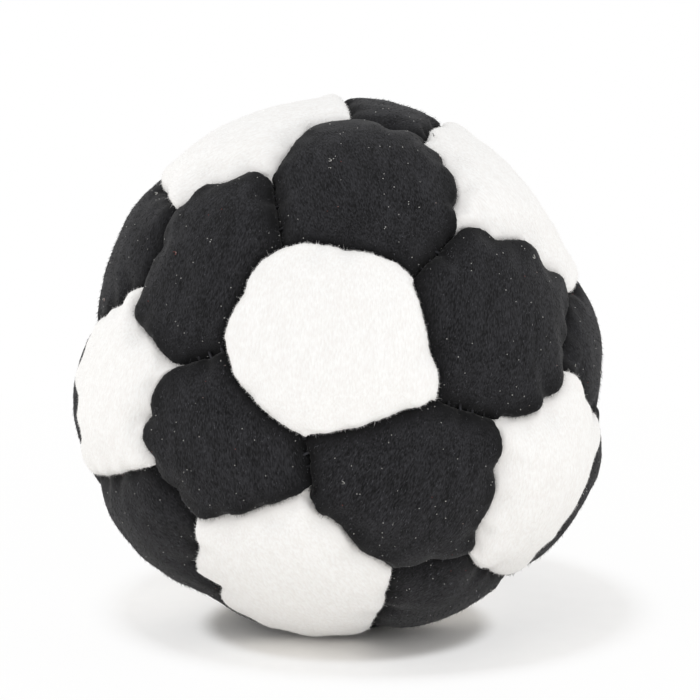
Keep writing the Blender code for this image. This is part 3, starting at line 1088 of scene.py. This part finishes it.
def fibre_tree(name, shape, leaning_along="outward"):
    """Grows fibres, hairs or specks on a surface, in a band along its seams and clear of the ground."""
    tree, given, result = tree_with(name, {
        "Density": "Float", "Band": "Float", "Clear Height": "Float", "Length": "Float",
        "Thickness": "Float", "Lean": "Float", "Spread": "Float", "Seed": "Int", "Finish": "Material",
    })
    inset = add_node(tree, "GeometryNodeInputNamedAttribute", {"Name": "inset"}, data_type="FLOAT")
    near = add_node(
        tree, "FunctionNodeCompare", {0: inset.outputs[0], 1: given["Band"]}, operation="LESS_THAN",
    ).outputs[0]
    place = add_node(tree, "GeometryNodeInputPosition").outputs[0]
    height = add_node(tree, "ShaderNodeSeparateXYZ", {0: place}).outputs["Z"]
    clear = add_node(
        tree, "FunctionNodeCompare", {0: height, 1: given["Clear Height"]}, operation="GREATER_THAN",
    ).outputs[0]
    wanted = add_node(tree, "ShaderNodeMath", {0: near, 1: clear}, operation="MULTIPLY").outputs[0]
    density = add_node(
        tree, "ShaderNodeMath", {0: wanted, 1: given["Density"]}, operation="MULTIPLY",
    ).outputs[0]
    spots = add_node(
        tree, "GeometryNodeDistributePointsOnFaces",
        {"Mesh": given["Geometry"], "Density": density, "Seed": given["Seed"]},
    )
    outward = add_node(
        tree, "GeometryNodeInputNamedAttribute", {"Name": leaning_along}, data_type="FLOAT_VECTOR",
    ).outputs[0]
    leaning = add_node(
        tree, "ShaderNodeVectorMath", {0: outward, "Scale": given["Lean"]}, operation="SCALE",
    ).outputs[0]
    stray = add_node(
        tree, "FunctionNodeRandomValue", {0: (-1, -1, -1), 1: (1, 1, 1), "Seed": given["Seed"]},
        data_type="FLOAT_VECTOR",
    ).outputs[0]
    straying = add_node(
        tree, "ShaderNodeVectorMath", {0: stray, "Scale": given["Spread"]}, operation="SCALE",
    ).outputs[0]
    both = add_node(tree, "ShaderNodeVectorMath", {0: leaning, 1: straying}, operation="ADD").outputs[0]
    way = add_node(
        tree, "ShaderNodeVectorMath", {0: both, 1: spots.outputs["Normal"]}, operation="ADD",
    ).outputs[0]
    turn = add_node(tree, "FunctionNodeAlignRotationToVector", {"Vector": way}, axis="Z").outputs[0]
    grown = add_node(
        tree, "FunctionNodeRandomValue", {2: 0.3, 3: 1.0, "Seed": given["Seed"]}, data_type="FLOAT",
    ).outputs[1]
    tall = add_node(
        tree, "ShaderNodeMath", {0: grown, 1: given["Length"]}, operation="MULTIPLY",
    ).outputs[0]
    size = add_node(
        tree, "ShaderNodeCombineXYZ", {0: given["Thickness"], 1: given["Thickness"], 2: tall},
    ).outputs[0]
    if shape == "spike":
        one = add_node(
            tree, "GeometryNodeMeshCone",
            {"Vertices": 3, "Side Segments": 1, "Radius Top": 0.0, "Radius Bottom": 0.5, "Depth": 1.0},
        ).outputs["Mesh"]
    elif shape == "speck":
        one = add_node(tree, "GeometryNodeMeshIcoSphere", {"Radius": 0.5, "Subdivisions": 1}).outputs[0]
    else:
        bend = add_node(
            tree, "GeometryNodeCurveQuadraticBezier",
            {"Resolution": 6, "Start": (0, 0, 0), "Middle": (14, 0, 0.3), "End": (0, 9, 1)},
        ).outputs[0]
        ring = add_node(
            tree, "GeometryNodeCurvePrimitiveCircle", {"Resolution": 3, "Radius": 0.5},
        ).outputs[0]
        one = add_node(
            tree, "GeometryNodeCurveToMesh", {"Curve": bend, "Profile Curve": ring, "Fill Caps": True},
        ).outputs[0]
    placed = add_node(
        tree, "GeometryNodeInstanceOnPoints",
        {"Points": spots.outputs["Points"], "Instance": one, "Rotation": turn, "Scale": size},
    ).outputs[0]
    finish_tree(tree, placed, given, result)
    return tree


def grow(name, surface, tree, values):
    """A piece that a node tree grows on a surface or along lines."""
    obj = bpy.data.objects.new(name, surface.copy())
    bpy.context.scene.collection.objects.link(obj)
    modifier = obj.modifiers.new("grow", "NODES")
    modifier.node_group = tree
    for item in tree.interface.items_tree:
        if item.in_out == "INPUT" and item.name in values:
            modifier[item.identifier] = values[item.name]
    mesh = applied(obj)
    mesh.name = name
    obj = bpy.data.objects.new(name, mesh)
    bpy.context.scene.collection.objects.link(obj)
    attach(obj, "root")
    return obj


class FOOTBAG_OT_fibres(bpy.types.Operator):
    """Grow the frayed fibres at the folded edges and the short nap between them"""

    bl_idname = "footbag.fibres"
    bl_label = "Fibres"

    def execute(self, context):
        edge = fibre_tree("edge_fibres", "spike", "outward")
        nap = fibre_tree("nap_fibres", "spike", "brushed")
        white = fibre("white_fibre", colours().white_dark_nap_and_seam_shade, colours().white_raised, 0.2)
        black = fibre("black_fibre", colours().black_dark_nap_and_seam_shade, colours().black_tips, 0.48)
        for name, kind, finish, tree, density, band, long, thick, lean, stray, seed in (
            ("white_edge_fibres", WHITE, white, edge, 30, 0.35, 0.30, 0.036, 1.2, 1.1, 1),
            ("white_edge_hairs", WHITE, white, edge, 0.8, 0.35, 0.75, 0.028, 0.9, 0.9, 2),
            ("black_edge_fibres", BLACK, black, edge, 4, 0.80, 0.40, 0.022, 0.6, 0.8, 3),
            ("black_nap", BLACK, black, nap, 6, ALL_OVER / MM, 0.42, 0.036, 1.8, 0.6, 4),
            ("white_nap", WHITE, white, nap, 10, ALL_OVER / MM, 0.30, 0.030, 1.0, 0.9, 5),
        ):
            grow(name, bpy.data.meshes[f"{kind}_surface"], tree, {
                "Density": density / MM ** 2, "Band": band * MM, "Length": long * MM,
                "Thickness": thick * MM, "Lean": lean, "Spread": stray, "Seed": seed,
                "Clear Height": CLEAR_HEIGHT, "Finish": finish})
        return {"FINISHED"}


class FOOTBAG_OT_lint(bpy.types.Operator):
    """Scatter the pale specks and hairs that cling to the black nap"""

    bl_idname = "footbag.lint"
    bl_label = "Lint"

    def execute(self, context):
        finish = cotton_lint("cotton_lint")
        for name, shape, density, long, thick, stray, seed in (
            ("lint_specks", "speck", 0.14, 0.12, 0.10, 1.0, 6),
            ("lint_hairs", "hair", 0.006, 0.12, 0.040, 0.3, 7),
        ):
            grow(name, bpy.data.meshes["black_surface"], fibre_tree(name, shape), {
                "Density": density / MM ** 2, "Band": ALL_OVER, "Length": long * MM,
                "Thickness": thick * MM, "Lean": 0.0, "Spread": stray, "Seed": seed,
                "Clear Height": CLEAR_HEIGHT, "Finish": finish})
        return {"FINISHED"}


class FOOTBAG_OT_white_panels(bpy.types.Operator):
    """Make the 12 white pentagon panels"""

    bl_idname = "footbag.white_panels"
    bl_label = "White Panels"

    def execute(self, context):
        finish = suede(
            "white_suede", colours().white_dark_nap_and_seam_shade, colours().white_raised,
            nap=0.18 * MM, relief=0.025 * MM, sheen=0.1,
        )
        make_panels(WHITE, finish)
        return {"FINISHED"}


class FOOTBAG_OT_black_panels(bpy.types.Operator):
    """Make the 20 black hexagon panels"""

    bl_idname = "footbag.black_panels"
    bl_label = "Black Panels"

    def execute(self, context):
        finish = suede(
            "black_suede", colours().black_dark_nap_and_seam_shade, colours().black_raised,
            nap=0.13 * MM, relief=0.025 * MM, sheen=0.1,
        )
        make_panels(BLACK, finish)
        return {"FINISHED"}


CAMERA_HEIGHT_ANGLE = math.radians(12)
CAMERA_DISTANCE = 405 * MM
FRAME_SIZE = 700
BALL_MIDDLE_PIXEL = (342.2, 367.5)
BALL_RADIUS_PIXELS = 272.6
SENSOR_MM = 36
FLOOR_SIZE = 3.0
FLOOR_GAP = 0.02 * MM
TENT_LIGHT = 0.91

# Each softbox has its place, its power in watts and its width
SOFTBOXES = (
    ("side_softbox", (-0.72, 0.20, 0.25), 0.7, 0.4),
    ("left_softbox", (-0.56, -0.54, 0.13), 0.3, 0.24),
    ("right_softbox", (0.56, -0.54, 0.13), 0.7, 0.24),
)


class FOOTBAG_OT_stage(bpy.types.Operator):
    """Set the pale floor, the soft lights and the camera"""

    bl_idname = "footbag.stage"
    bl_label = "Stage"

    def execute(self, context):
        scene = context.scene
        centre = ball_middle()
        data = bpy.data.cameras.new("camera")
        camera = bpy.data.objects.new("camera", data)
        scene.collection.objects.link(camera)
        back = Vector((0, -math.cos(CAMERA_HEIGHT_ANGLE), math.sin(CAMERA_HEIGHT_ANGLE)))
        camera.location = centre + back * CAMERA_DISTANCE
        camera.rotation_euler = (-back).to_track_quat("-Z", "Y").to_euler()
        spread = ball_radius() / math.sqrt(CAMERA_DISTANCE ** 2 - ball_radius() ** 2)
        data.lens = BALL_RADIUS_PIXELS / spread / FRAME_SIZE * SENSOR_MM
        data.sensor_width = SENSOR_MM
        data.shift_x = (FRAME_SIZE / 2 - BALL_MIDDLE_PIXEL[0]) / FRAME_SIZE
        data.shift_y = (BALL_MIDDLE_PIXEL[1] - FRAME_SIZE / 2) / FRAME_SIZE
        data.clip_start = 0.01
        scene.camera = camera
        scene.view_settings.view_transform = "Standard"
        bpy.ops.mesh.primitive_plane_add(size=FLOOR_SIZE)
        floor = context.object
        floor.name = "floor"
        floor.data.transform(Matrix.Translation((0, 0, -FLOOR_GAP)))
        floor.data.materials.append(painted_board("painted_board"))
        light_world(scene)
        for name, place, power, size in SOFTBOXES:
            light = bpy.data.lights.new(name, "AREA")
            light.energy = power
            light.size = size
            lamp = bpy.data.objects.new(name, light)
            lamp.location = place
            lamp.rotation_euler = (centre - Vector(place)).to_track_quat("-Z", "Y").to_euler()
            scene.collection.objects.link(lamp)
        return {"FINISHED"}


def light_world(scene):
    """Even white light from all round, as in a light tent, which the camera sees as pure white."""
    world = bpy.data.worlds.new("light_tent")
    scene.world = world
    world.use_nodes = True
    tree = world.node_tree
    lit = tree.nodes["Background"]
    lit.inputs["Color"].default_value = (1, 1, 1, 1)
    lit.inputs["Strength"].default_value = TENT_LIGHT
    white = add_node(tree, "ShaderNodeBackground", {"Color": (1, 1, 1, 1), "Strength": 1.0}).outputs[0]
    mixed = add_node(tree, "ShaderNodeMixShader", {0: seen_straight(tree), 1: lit.outputs[0], 2: white})
    tree.links.new(mixed.outputs[0], tree.nodes["World Output"].inputs["Surface"])


class FOOTBAG_PT_sidebar(bpy.types.Panel):
    """The footbag's sizes, colours and steps, in the 3D view's sidebar"""

    bl_idname = "FOOTBAG_PT_sidebar"
    bl_label = "Sewn Footbag"
    bl_space_type = "VIEW_3D"
    bl_region_type = "UI"
    bl_category = "Footbag"

    def draw(self, context):
        for group in (context.scene.footbag_sizes, context.scene.footbag_colours):
            box = self.layout.box()
            for name in group.__annotations__:
                box.prop(group, name)
        for step in STEPS:
            self.layout.operator(step.bl_idname)


STEPS = (
    FOOTBAG_OT_fill_bag,
    FOOTBAG_OT_white_panels,
    FOOTBAG_OT_black_panels,
    FOOTBAG_OT_thread,
    FOOTBAG_OT_sand,
    FOOTBAG_OT_fibres,
    FOOTBAG_OT_lint,
    FOOTBAG_OT_stage,
)
CLASSES = (FootbagSizes, FootbagColours, *STEPS, FOOTBAG_PT_sidebar)


def register():
    for cls in CLASSES:
        bpy.utils.register_class(cls)
    bpy.types.Scene.footbag_sizes = PointerProperty(type=FootbagSizes)
    bpy.types.Scene.footbag_colours = PointerProperty(type=FootbagColours)


def unregister():
    del bpy.types.Scene.footbag_colours
    del bpy.types.Scene.footbag_sizes
    for cls in reversed(CLASSES):
        bpy.utils.unregister_class(cls)


def main():
    register()
    for step in STEPS:
        family, step_name = step.bl_idname.split(".")
        getattr(getattr(bpy.ops, family), step_name)()


if __name__ == "__main__":
    main()
